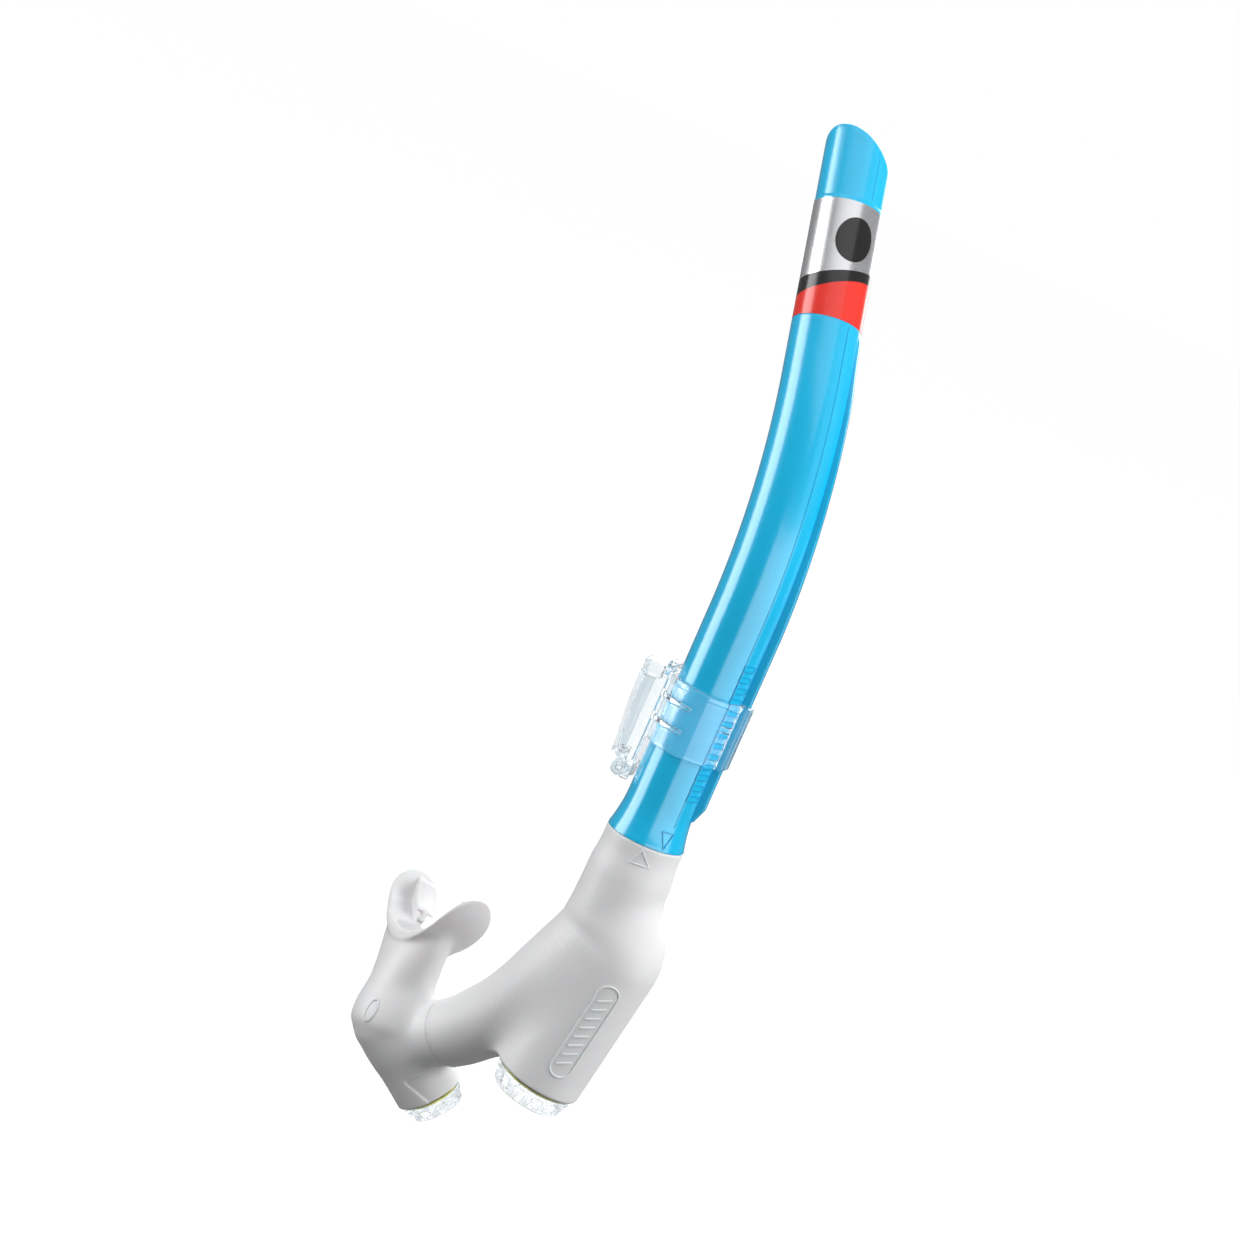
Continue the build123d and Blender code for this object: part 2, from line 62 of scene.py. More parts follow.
STRAIGHT = 96.0
BEND_R = 267.0
BEND_ANGLE = radians(21.7)
BEND_AZIMUTH = radians(140)
BEND_LENGTH = BEND_R * BEND_ANGLE
BEND_END_S = STRAIGHT + BEND_LENGTH
UPPER = 101.0
BARREL_R = 14.2
TOP_R = 13.9
BORE = 12.0
FLARE_R = 16.5
FLARE_TOP = 17.0
SPIGOT_R = 13.6
SPIGOT_LENGTH = 22.0
SCARF_AZIMUTH = radians(70)
SCARF_ANGLE = radians(40.8)
SCARF_DROP = 12.0
RAIL_HALF = 1.6
RAIL_R = 17.7
RAIL_R_TOP = 15.7
RAIL_START = 14.0
RAIL_FULL = 20.5
RAIL_END_S = BEND_END_S + 18.0
PRINT_LOW = 217.5
PRINT_HIGH = 265.2
PRINT_TILT = 2.0
PRINT_TILT_AZIMUTH = radians(-105)
MARGIN = 1.1
CLIP_R = 16.4

# The camera's axes and place, in the frame's axes and metres.
RIGHT = np.array([0.87181, 0.29207, 0.39323])
ABOVE = np.array([-0.42694, 0.05955, 0.90232])
BACK = np.array([0.24012, -0.95454, 0.17661])
EYE = np.array([0.35798, -1.52512, 0.31281])

UP = np.array([0.0, 0.0, 1.0])
BEND_DIR = np.array([cos(BEND_AZIMUTH), sin(BEND_AZIMUTH), 0.0])
BEND_SIDE = np.cross(UP, BEND_DIR)


def unit(v):
    v = np.asarray(v, float)
    return v / np.linalg.norm(v)


def to_row(points):
    return (np.asarray(points, float) - SLOT_CENTRE) * 0.001


# ------------------------------------------------------------------ mesh helpers


def new_mesh(name, points_mm, faces, zones=None):
    """A mesh from points in millimetres and a list or array of faces."""
    mesh = bpy.data.meshes.new(name)
    mesh.from_pydata(to_row(points_mm).tolist(), [], [list(map(int, f)) for f in faces])
    if zones is not None:
        mesh.polygons.foreach_set("material_index", np.asarray(zones, np.int32))
    mesh.validate()
    mesh.update()
    return mesh


def piece(name, mesh, body, materials, nodes=(), crease=35):
    """A visible piece that rides on a body."""
    obj = bpy.data.objects.new(name, mesh)
    bpy.context.scene.collection.objects.link(obj)
    for material in materials:
        mesh.materials.append(material)
    mesh.shade_smooth()
    if crease:
        mesh.set_sharp_from_angle(angle=radians(crease))
    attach(obj, body)
    if nodes:
        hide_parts(*nodes)
    return obj


def torus_faces(rings, around):
    """Quads joining closed rings, the last ring back to the first."""
    i = np.arange(rings)[:, None]
    j = np.arange(around)[None, :]
    a = i * around + j
    b = i * around + (j + 1) % around
    c = ((i + 1) % rings) * around + (j + 1) % around
    d = ((i + 1) % rings) * around + j
    return np.stack([a, b, c, d], -1).reshape(-1, 4)


def merge(parts):
    """One list of points and one of faces from several."""
    points = []
    faces = []
    start = 0
    for p, f in parts:
        p = np.asarray(p, float)
        points.append(p)
        faces.extend([[int(k) + start for k in face] for face in f])
        start += len(p)
    return np.concatenate(points), faces


def strip(line, normals, width, height, closed=False, sink=0.25):
    """A raised bevelled line on a surface, along points with outward normals."""
    line = np.asarray(line, float)
    normals = np.asarray(normals, float)
    count = len(line)
    after = np.roll(line, -1, 0) - line
    before = line - np.roll(line, 1, 0)
    if not closed:
        after[-1] = before[-1]
        before[0] = after[0]
    after /= np.linalg.norm(after, axis=1)[:, None]
    before /= np.linalg.norm(before, axis=1)[:, None]
    side = np.cross(after + before, normals)
    side /= np.linalg.norm(side, axis=1)[:, None]
    plain = np.cross(after, normals)
    plain /= np.linalg.norm(plain, axis=1)[:, None]
    mitre = 1 / np.clip((side * plain).sum(1), 0.4, 1)[:, None]
    section = [(-0.5, -sink), (-0.5, 0.2), (-0.3, 1.0), (0.3, 1.0), (0.5, 0.2), (0.5, -sink)]
    rows = []
    for across, up in section:
        lift = up * height if up > 0 else up
        rows.append(line + side * mitre * across * width + normals * lift)
    points = np.stack(rows, 1).reshape(-1, 3)
    k = len(section)
    faces = []
    for i in range(count if closed else count - 1):
        n = (i + 1) % count
        for j in range(k):
            m = (j + 1) % k
            faces.append([i * k + j, n * k + j, n * k + m, i * k + m])
    if not closed:
        faces.append(list(range(k)))
        faces.append([(count - 1) * k + j for j in reversed(range(k))])
    return points, faces


def pad(corner_points, normals, height, inset=0.18, sink=0.25):
    """A raised flat patch: a closed outline on a surface, with its top drawn in a little."""
    base = np.asarray(corner_points, float)
    normals = np.asarray(normals, float)
    middle = base.mean(0)
    inward = middle - base
    inward /= np.linalg.norm(inward, axis=1)[:, None]
    shoulder = base + normals * height * 0.5
    rows = [base - normals * sink, shoulder, base + inward * inset + normals * height]
    n = len(base)
    faces = []
    for r in range(2):
        for j in range(n):
            m = (j + 1) % n
            faces.append([r * n + j, r * n + m, (r + 1) * n + m, (r + 1) * n + j])
    faces.append([j for j in reversed(range(n))])
    faces.append([2 * n + j for j in range(n)])
    return np.concatenate(rows), faces


# ------------------------------------------------------------------ the barrel's path


def frames_at(s):
    """Centre and the two cross axes of the barrel at distances s along it."""
    s = np.asarray(s, float)
    angle = np.clip((s - STRAIGHT) / BEND_R, 0, BEND_ANGLE)
    sa = np.sin(angle)[..., None]
    ca = np.cos(angle)[..., None]
    start = np.minimum(s, STRAIGHT)[..., None] * UP
    centre = start + BEND_R * (sa * UP + (1 - ca) * BEND_DIR)
    along = sa * BEND_DIR + ca * UP
    centre = centre + np.maximum(s - BEND_END_S, 0)[..., None] * along
    cross = []
    for axis in (np.array([1.0, 0, 0]), np.array([0, 1.0, 0])):
        kept = BEND_SIDE * BEND_SIDE.dot(axis) * (1 - ca)
        cross.append(axis * ca + np.cross(BEND_SIDE, axis) * sa + kept)
    return centre, cross[0], cross[1]


def on_barrel(s, azimuth, radius):
    """Points on the barrel, and their outward normals; azimuth in radians from +X."""
    s, azimuth, radius = np.broadcast_arrays(np.asarray(s, float), azimuth, radius)
    centre, e1, e2 = frames_at(s)
    out = np.cos(azimuth)[..., None] * e1 + np.sin(azimuth)[..., None] * e2
    return centre + radius[..., None] * out, out


def smoothstep(x, low, high):
    t = np.clip((np.asarray(x, float) - low) / (high - low), 0, 1)
    return t * t * (3 - 2 * t)


FLARE_ARC = (FLARE_TOP**2 + (FLARE_R - BARREL_R) ** 2) / (2 * (FLARE_R - BARREL_R))


def barrel_radius(s):
    s = np.asarray(s, float)
    below = np.clip(FLARE_TOP - s, 0, None)
    radius = BARREL_R + FLARE_ARC - np.sqrt(FLARE_ARC**2 - below**2)
    radius = radius - 0.1 * smoothstep(s, STRAIGHT, PRINT_LOW)
    step = smoothstep(s, PRINT_LOW - 0.35, PRINT_LOW + 0.1)
    radius = radius * (1 - step) + TOP_R * step
    edge = smoothstep(s, PRINT_HIGH + MARGIN, PRINT_HIGH + MARGIN + 0.3)
    raised = (s > PRINT_HIGH) * (1 - edge)
    return radius + 0.16 * raised


def print_tilt(s, azimuth):
    """How far the printed film's edges, and the wall near them, lean up the tube on one side."""
    near = smoothstep(s, 200, 214)
    return PRINT_TILT * near * np.cos(azimuth - PRINT_TILT_AZIMUTH)


CUT_S = BEND_END_S + UPPER - SCARF_DROP
_, CUT_E1, CUT_E2 = frames_at(CUT_S)
CUT_UP = np.cross(CUT_E1, CUT_E2)
LOW_SIDE = np.array([cos(SCARF_AZIMUTH), sin(SCARF_AZIMUTH), 0.0])
LOW_SIDE = unit(LOW_SIDE - CUT_UP * LOW_SIDE.dot(CUT_UP))
LOW_LOCAL = atan2(LOW_SIDE.dot(CUT_E2), LOW_SIDE.dot(CUT_E1))


def cut_height(azimuth, radius):
    """Distance along the path where the slanted top cuts a line of the wall."""
    return CUT_S - radius * tan(SCARF_ANGLE) * np.cos(azimuth - LOW_LOCAL)


def rail_outer(s):
    s = np.asarray(s, float)
    grow = 15.2 + (RAIL_R - 15.2) * np.clip((s - RAIL_START) / (RAIL_FULL - RAIL_START), 0, 1)
    grow = np.where(s < RAIL_START, 0, grow)
    taper = RAIL_R + (RAIL_R_TOP - RAIL_R) * np.clip((s - STRAIGHT) / BEND_LENGTH, 0, 1)
    outer = np.minimum(np.where(s < RAIL_FULL, grow, RAIL_R), taper)
    fade = 1.1 * smoothstep(s, BEND_END_S - 12, RAIL_END_S - 2)
    end = 4.0 * smoothstep(s, RAIL_END_S - 1, RAIL_END_S)
    return outer - fade - end


ARC_POINTS = 132


def outer_ring(s_row, radius_row=None, tilt=1.0):
    """One cross-section of the barrel with its spine rail; s may differ point by point."""
    base = barrel_radius(s_row) if radius_row is None else radius_row
    base = np.broadcast_to(base, (ARC_POINTS + 9,))
    s_row = np.broadcast_to(s_row, (ARC_POINTS + 9,))
    gap = asin(RAIL_HALF / BARREL_R)
    azimuth = np.linspace(gap, 2 * pi - gap, ARC_POINTS)
    x = base[:ARC_POINTS] * np.cos(azimuth)
    y = base[:ARC_POINTS] * np.sin(azimuth)
    outer = float(rail_outer(s_row[ARC_POINTS + 4]))
    r = 0.5
    rail_xy = [
        (None, -RAIL_HALF),
        (outer - r, -RAIL_HALF),
        (outer - 0.3 * r, -RAIL_HALF + 0.3 * r),
        (outer, -RAIL_HALF + r),
        (outer, 0.0),
        (outer, RAIL_HALF - r),
        (outer - 0.3 * r, RAIL_HALF - 0.3 * r),
        (outer - r, RAIL_HALF),
        (None, RAIL_HALF),
    ]
    rx = []
    ry = []
    for k, (px, py) in enumerate(rail_xy):
        on_circle = sqrt(max(base[ARC_POINTS + k] ** 2 - py**2, 0))
        if px is None:
            rx.append(on_circle)
        else:
            rx.append(max(px, on_circle))
        ry.append(py)
    x = np.concatenate([x, rx])
    y = np.concatenate([y, ry])
    turned = np.arctan2(y, x)
    centre, e1, e2 = frames_at(s_row + tilt * print_tilt(s_row, turned))
    return centre + x[:, None] * e1 + y[:, None] * e2, turned


def barrel_mesh():
    rings = []
    lower = np.concatenate(
        [
            np.linspace(0.35, FLARE_TOP, 14),
            [RAIL_START - 0.01, RAIL_START, RAIL_FULL - 0.1, RAIL_FULL],
            np.arange(22, STRAIGHT, 4.0),
            np.arange(STRAIGHT, PRINT_LOW - 1, 3.0),
            PRINT_LOW + np.array([-0.6, -0.35, -0.2, -0.05, 0.1, 0.3]),
            np.arange(PRINT_LOW + 3, 240, 4.0),
        ]
    )
    for s in np.unique(np.round(lower, 3)):
        ring, azimuth = outer_ring(s)
        rings.append(ring)
    wall = TOP_R - BORE
    middle = (TOP_R + BORE) / 2
    drop = 1.25
    base_s = 243.0
    top = cut_height(azimuth, TOP_R) - drop
    above = np.array([-0.2, 0.02, 0.5, MARGIN, MARGIN + 0.15, MARGIN + 0.3, MARGIN + 0.6])
    marks = (PRINT_HIGH + above).tolist()
    for s in [base_s, 250.0, 257.0, 263.0] + marks:
        s_row = np.minimum(s, top - 0.02 * (PRINT_HIGH + 3 - s))
        ring, azimuth = outer_ring(s_row, barrel_radius(s_row))
        rings.append(ring)
    last = np.minimum(marks[-1], top - 0.05)
    for t in np.linspace(0, 1, 16)[1:]:
        s_row = last + (top - last) * t
        ring, azimuth = outer_ring(s_row, np.full(len(azimuth), TOP_R), 1 - t)
        rings.append(ring)
    for turn in np.linspace(0, pi, 11)[1:]:
        r = middle + wall / 2 * cos(turn)
        s_row = cut_height(azimuth, r) - drop * (1 - sin(turn))
        centre, e1, e2 = frames_at(s_row)
        rings.append(centre + r * (np.cos(azimuth)[:, None] * e1 + np.sin(azimuth)[:, None] * e2))
    inner_top = cut_height(azimuth, BORE) - drop
    upper = np.arange(262, BEND_END_S, -6.0)
    bend = np.arange(BEND_END_S, STRAIGHT, -4.0)
    inner_levels = np.concatenate([upper, bend, [STRAIGHT, 60, 20, -SPIGOT_LENGTH]])
    for s in inner_levels:
        s_row = np.minimum(s, inner_top - 0.02 * (264 - s))
        rings.append(on_barrel(s_row, azimuth, BORE)[0])
    foot = [
        (SPIGOT_R - 0.8, -SPIGOT_LENGTH),
        (SPIGOT_R, -SPIGOT_LENGTH + 0.8),
        (SPIGOT_R, -0.02),
        (SPIGOT_R + 0.02, 0.0),
        (FLARE_R - 0.5, 0.0),
        (FLARE_R - 0.15, 0.1),
    ]
    for r, z in foot:
        rings.append(on_barrel(np.full(len(azimuth), float(z)), azimuth, r)[0])
    return np.concatenate(rings), torus_faces(len(rings), len(azimuth))


SCALE_AZIMUTH = radians(-40)
SCALE_LOW = 22.6
SCALE_STEP = 4.75
SCALE_BARS = 13
SCALE_WIDTH = 6.3
SCALE_BAR = 2.3
LADDER_WIDTH = 0.42
LADDER_RISE = 0.34
PLAIN_ZONE = 0
# Faces in this zone take a darker blue: painted shade along the raised marks' edges and outlines.
PAINTED_SHADE_ZONE = 1


def barrel_marks():
    """The mould line, the scale of raised bars and the foot's pointer, with the zones of their faces; the
    marks' sides and outlines take a darker blue, which is painted shade.
    """
    parts = []
    zones = []

    def add(part, plain_faces=0):
        """Adds a mark in the darker blue of painted shade, whose last few faces keep the barrel's own
        colour.
        """
        parts.append(part)
        zones.extend([PAINTED_SHADE_ZONE] * (len(part[1]) - plain_faces) + [PLAIN_ZONE] * plain_faces)

    s = np.concatenate([np.arange(10.5, 216, 2.5), [217.0]])
    points, normals = on_barrel(s, SCALE_AZIMUTH, barrel_radius(s))
    add(strip(points, normals, 0.34, 0.14))
    s = np.arange(268.6, float(cut_height(np.array(SCALE_AZIMUTH), TOP_R)) - 1.5, 2.0)
    points, normals = on_barrel(s, SCALE_AZIMUTH, TOP_R)
    add(strip(points, normals, 0.3, 0.08))
    arc = SCALE_WIDTH / BARREL_R
    for k in range(SCALE_BARS):
        low = SCALE_LOW + SCALE_STEP * k
        across = np.linspace(0, arc, 7)
        ring_az = np.concatenate([across, across[::-1]]) + SCALE_AZIMUTH
        ring_s = np.concatenate([np.full(7, low), np.full(7, low + SCALE_BAR)])
        points, normals = on_barrel(ring_s, ring_az, barrel_radius(ring_s))
        add(pad(points, normals, 0.22, inset=0.1), plain_faces=1)
        add(strip(points, normals, LADDER_WIDTH, LADDER_RISE, closed=True))
        gap_low = low + SCALE_BAR
        if k < SCALE_BARS - 1:
            s = np.array([gap_low, low + SCALE_STEP])
            points, normals = on_barrel(s, SCALE_AZIMUTH + 0.012, barrel_radius(s))
            add(strip(points, normals, LADDER_WIDTH, LADDER_RISE))
    add(triangle_on_barrel(radians(-47), 8.0, 1.3, 2.6, 0.34))
    return parts, zones


def triangle_on_barrel(azimuth, base_s, tip_s, half_width, height):
    """A raised triangle outline that points down the barrel."""
    corners = [(-half_width, base_s), (half_width, base_s), (0.0, tip_s)]
    line = []
    for k in range(3):
        a = np.array(corners[k])
        b = np.array(corners[(k + 1) % 3])
        for t in np.linspace(0, 1, 7)[:-1]:
            line.append(a + (b - a) * t)
    line = np.array(line)
    radius = barrel_radius(line[:, 1])
    points, normals = on_barrel(line[:, 1], azimuth + line[:, 0] / radius, radius)
    return strip(points, normals, 0.55, height, closed=True)


# ------------------------------------------------------------------ soft mouldings as distance fields


def smooth_min(a, b, k):
    h = np.clip(0.5 + 0.5 * (b - a) / k, 0, 1)
    return b + (a - b) * h - k * h * (1 - h)


def smooth_max(a, b, k):
    return -smooth_min(-a, -b, k)


def chain(p, line, radii):
    """Distance to a tube of varying radius along a line of points."""
    best = np.full(len(p), 1e3)
    for a, b, ra, rb in zip(line[:-1], line[1:], radii[:-1], radii[1:]):
        ab = b - a
        t = np.clip((p - a) @ ab / ab.dot(ab), 0, 1)
        d = np.linalg.norm(p - a - t[:, None] * ab, axis=1) - (ra + (rb - ra) * t)
        best = np.minimum(best, d)
    return best


def round_end(p, foot, axis, radius, straight, nose):
    """Distance to a cylinder that ends in half an ellipsoid."""
    q = p - foot
    t = q @ axis
    rho = np.linalg.norm(q - t[:, None] * axis, axis=1)
    over = np.maximum(t - straight, 0)
    k0 = np.sqrt((rho / radius) ** 2 + (over / nose) ** 2)
    k1 = np.sqrt((rho / radius**2) ** 2 + (over / nose**2) ** 2) + 1e-9
    return k0 * (k0 - 1) / k1


def cylinder(p, foot, axis, radius):
    q = p - foot
    t = q @ axis
    return np.linalg.norm(q - t[:, None] * axis, axis=1) - radius, t


def surface_nets(values, origin, step):
    """Points and quads on the zero level of a grid that is negative inside."""
    nx, ny, nz = values.shape
    corner = {}
    for dx in (0, 1):
        for dy in (0, 1):
            for dz in (0, 1):
                corner[dx, dy, dz] = values[dx : nx - 1 + dx, dy : ny - 1 + dy, dz : nz - 1 + dz]
    inside = sum((c < 0).astype(np.int8) for c in corner.values())
    active = (inside > 0) & (inside < 8)
    index = -np.ones(active.shape, np.int64)
    cells = np.argwhere(active)
    index[active] = np.arange(len(cells))
    total = np.zeros((len(cells), 3))
    hits = np.zeros(len(cells))
    flat = {key: c[active] for key, c in corner.items()}
    for key in corner:
        for axis in range(3):
            if key[axis]:
                continue
            other = list(key)
            other[axis] = 1
            a = flat[key]
            b = flat[tuple(other)]
            cross = (a < 0) != (b < 0)
            t = np.where(cross, a / np.where(cross, a - b, 1), 0)
            place = np.array(key, float)[None, :].repeat(len(cells), 0)
            place[:, axis] += t
            total[cross] += place[cross]
            hits[cross] += 1
    points = origin + (cells + total / hits[:, None]) * step
    quads = []
    for axis in range(3):
        u, v = [k for k in range(3) if k != axis]
        low = [slice(1, -1)] * 3
        high = [slice(1, -1)] * 3
        low[axis] = slice(0, -1)
        high[axis] = slice(1, None)
        a = values[tuple(low)]
        b = values[tuple(high)]
        edge = (a < 0) != (b < 0)
        where = np.argwhere(edge)
        base = where.copy()
        base[:, u] += 1
        base[:, v] += 1
        flip = a[edge] < 0

        def cell(du, dv):
            c = base.copy()
            c[:, u] += du
            c[:, v] += dv
            return index[c[:, 0], c[:, 1], c[:, 2]]

        q = np.stack([cell(-1, -1), cell(0, -1), cell(0, 0), cell(-1, 0)], 1)
        if axis == 1:
            flip = ~flip
        q[~flip] = q[~flip][:, ::-1]
        quads.append(q)
    return points, np.concatenate(quads)


def settle(field, points, rounds=3, reach=0.05, most=0.5):
    """Moves points onto the zero level of a distance field; also gives the normals there."""
    for _ in range(rounds):
        value = field(points)
        steps = np.eye(3) * reach
        slope = np.stack([field(points + e) - field(points - e) for e in steps], 1) / (2 * reach)
        size = np.maximum((slope**2).sum(1), 0.05)
        points = points - slope * np.clip(value / size, -most, most)[:, None]
    return points, slope / np.sqrt(size)[:, None]


def moulding(field, low, high, step):
    low = np.asarray(low, float)
    count = np.ceil((np.asarray(high) - low) / step).astype(int) + 1
    axes = [low[k] + step * np.arange(count[k]) for k in range(3)]
    values = np.empty(count)
    for i, x in enumerate(axes[0]):
        y, z = np.meshgrid(axes[1], axes[2], indexing="ij")
        p = np.stack([np.full(y.size, x), y.ravel(), z.ravel()], 1)
        values[i] = field(p).reshape(y.shape)
    points, quads = surface_nets(values, low, step)
    points, _ = settle(field, points, most=step * 0.6)
    return points, quads


VOXEL = 0.7


def grid_bounds(node, room=6.0):
    """A node's box in millimetres from the seam, with room round it."""
    low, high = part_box(node)
    return np.array(low) * 1000 + SLOT_CENTRE - room, np.array(high) * 1000 + SLOT_CENTRE + room


# ------------------------------------------------------------------ chamber, neck and pipe

CHAMBER_FOOT = np.array([-1.0, 0.0, -109.0])
CHAMBER_AXIS = np.array([sin(radians(9.5)), 0.0, cos(radians(9.5))])
CHAMBER_R = 18.65
CHAMBER_WALL = 2.65
NECK_R = 16.5
PIPE_AXIS = unit([0.7486, -0.3038, 0.589])
PIPE_MEETS_NECK = 79.0
PIPE_REACH = 62.9
PIPE_TANGENT = 55.0
CROSSING = np.array([0.0, 0.0, -PIPE_MEETS_NECK])
SWIVEL = CROSSING - PIPE_AXIS * PIPE_REACH
RING_HALF = 0.4


def pipe_line():
    """Points down the middle of the bent pipe, from the swivel up into the neck."""
    start = CROSSING - PIPE_AXIS * PIPE_TANGENT
    end = CROSSING + UP * PIPE_TANGENT
    line = [SWIVEL - PIPE_AXIS * 2, SWIVEL + PIPE_AXIS * 3]
    half = np.arccos(PIPE_AXIS.dot(UP)) / 2
    radius = PIPE_TANGENT / tan(half)
    toward = unit(UP - PIPE_AXIS * PIPE_AXIS.dot(UP))
    centre = start + toward * radius
    for a in np.linspace(0, 2 * half, 37):
        line.append(centre - toward * radius * cos(a) + PIPE_AXIS * radius * sin(a))
    line.append(end + UP * 6)
    return np.array(line)


def steps_along(line):
    return np.concatenate([[0], np.cumsum(np.linalg.norm(np.diff(line, axis=0), axis=1))])


# The photograph's pipe runs a little higher than the CAD's, and swells before it joins the chamber.
PIPE_LINE = pipe_line()
PIPE_STEPS = steps_along(PIPE_LINE)
PIPE_RISE = 1.6 * smoothstep(PIPE_STEPS, 6, 24) * (1 - smoothstep(PIPE_STEPS, 70, 100))
PIPE_LINE = PIPE_LINE + PIPE_RISE[:, None] * ABOVE
PIPE_STEPS = steps_along(PIPE_LINE)
SWELL_AT = [0, 14, 30, 46, 62, 76, 92, 130]
SWELL_R = [14.3, 14.7, 16.0, 17.9, 19.3, 18.7, 17.0, 15.5]
PIPE_RADII = sum(np.interp(PIPE_STEPS + shift, SWELL_AT, SWELL_R) for shift in np.linspace(-6, 6, 9)) / 9


def chamber_body(p):
    neck, _ = cylinder(p, np.zeros(3), UP, NECK_R)
    neck = smooth_max(neck, -38 - p[:, 2], 4)
    chamber = round_end(p, CHAMBER_FOOT, CHAMBER_AXIS, CHAMBER_R, 58.0, 25.0)
    chamber = smooth_max(chamber, (CHAMBER_FOOT - p) @ CHAMBER_AXIS, 1.1)
    pipe = chain(p, PIPE_LINE, PIPE_RADII)
    pipe = smooth_max(pipe, RING_HALF + 0.02 - (p - SWIVEL) @ PIPE_AXIS, 0.6)
    return smooth_min(smooth_min(neck, pipe, 5), chamber, 9)


def chamber_field(p):
    body = chamber_body(p)
    inner, t = cylinder(p, CHAMBER_FOOT, CHAMBER_AXIS, CHAMBER_R - CHAMBER_WALL)
    drain = smooth_max(inner, t - 50, 2)
    spigot, _ = cylinder(p, np.zeros(3), UP, SPIGOT_R + 0.06)
    spigot = np.maximum(spigot, -SPIGOT_LENGTH - 0.3 - p[:, 2])
    passage = chain(p, PIPE_LINE, np.minimum(PIPE_RADII - 2.7, 12.6))
    end = (p - SWIVEL) @ PIPE_AXIS
    spool, _ = cylinder(p, SWIVEL, PIPE_AXIS, 11.56)
    spool = np.maximum(spool, end - 7.8)
    space = np.minimum(np.minimum(drain, spigot), np.minimum(passage, spool))
    shape = smooth_max(body, -space, 0.5)
    return smooth_max(shape, p[:, 2] + 0.12, 0.5)


def project_marks(field, line, width, height, closed=False, rounds=6):
    points, normals = settle(field, np.asarray(line, float), rounds=rounds, most=2.0)
    return strip(points, normals, width, height, closed)


def between(corners, steps, closed=True):
    """Points along straight runs between corners."""
    corners = np.asarray(corners, float)
    count = len(corners)
    line = []
    for k in range(count if closed else count - 1):
        a = corners[k]
        b = corners[(k + 1) % count]
        for t in np.arange(steps) / steps:
            line.append(a + (b - a) * t)
    if not closed:
        line.append(corners[-1])
    return np.array(line)


def chamber_point(azimuth, height, radius=CHAMBER_R):
    """A point near the chamber's wall; azimuth from +X, height above the lower rim."""
    x_axis = unit(np.cross([0, 1.0, 0], CHAMBER_AXIS))
    y_axis = np.cross(CHAMBER_AXIS, x_axis)
    out = cos(azimuth) * x_axis + sin(azimuth) * y_axis
    return CHAMBER_FOOT + CHAMBER_AXIS * height + out * radius


def chamber_marks():
    """A pointer on the neck, and a plain embossed panel up the chamber's side."""
    parts = []
    corners = []
    for azimuth, z in ((radians(-74), -1.9), (radians(-84.5), -8.2), (radians(-56.5), -7.6)):
        corners.append(np.array([cos(azimuth), sin(azimuth), 0]) * NECK_R + UP * z)
    parts.append(project_marks(chamber_body, between(corners, 7), 0.6, 0.28, closed=True))
    outline = []
    length = 44.0
    half = 4.6
    middle_azimuth = radians(-62)
    for turn in np.linspace(0, 2 * pi, 60, endpoint=False):
        shift = half * cos(turn)
        along = half * sin(turn) + (length / 2 - half if sin(turn) > 0 else half - length / 2)
        outline.append(chamber_point(middle_azimuth + shift / CHAMBER_R, 32.0 + along))
    dense = []
    for k in range(len(outline)):
        a = outline[k]
        b = outline[(k + 1) % len(outline)]
        n = max(1, int(np.linalg.norm(b - a) / 1.5))
        for t in np.arange(n) / n:
            dense.append(a + (b - a) * t)
    parts.append(project_marks(chamber_body, dense, 0.8, 0.4, closed=True))
    for k in range(8):
        low = 15.5 + 4.4 * k
        run = []
        for u in np.linspace(-1, 1, 6):
            run.append(chamber_point(middle_azimuth + (u * 2.6) / CHAMBER_R, low + u * 1.5 + 1.0))
        parts.append(project_marks(chamber_body, run, 1.1, 0.38))
    return parts


# ------------------------------------------------------------------ elbow and mouthpiece

ELBOW = SWIVEL - PIPE_AXIS * 23.9
VALVE_AXIS = unit([0.6916, 0.2676, -0.670])
SKIRT_TURN = radians(50)
ELBOW_MARK = np.array([-79.7, 5.8, -118.7])
VALVE_LENGTH = 25.0
VALVE_BORE = 10.6
BRANCH_ROOT = ELBOW - VALVE_AXIS * 9.3
MOUTH_CENTRE = np.array([-76.1, 33.3, -89.9])
MOUTH_AXIS = unit([-0.003, 0.306, 0.952])
MOUTH_SIDE = np.array([0.730, -0.650, 0.2112])
MOUTH_SIDE = unit(MOUTH_SIDE - MOUTH_AXIS * MOUTH_SIDE.dot(MOUTH_AXIS))
MOUTH_BACK = np.cross(MOUTH_SIDE, MOUTH_AXIS)
MOUTH_TILT = radians(2.0)
MOUTH_SIDE = MOUTH_SIDE * cos(MOUTH_TILT) - MOUTH_AXIS * sin(MOUTH_TILT)
MOUTH_AXIS = np.cross(MOUTH_BACK, MOUTH_SIDE)
FLANGE_HALF = 27.5
FLANGE_DEPTH = 25.5
FLANGE_TIP = 14.5
FLANGE_FLARE = 2.4
MOUTH_WALL = 2.3
TUBE_SHIFT = -2.8 * RIGHT


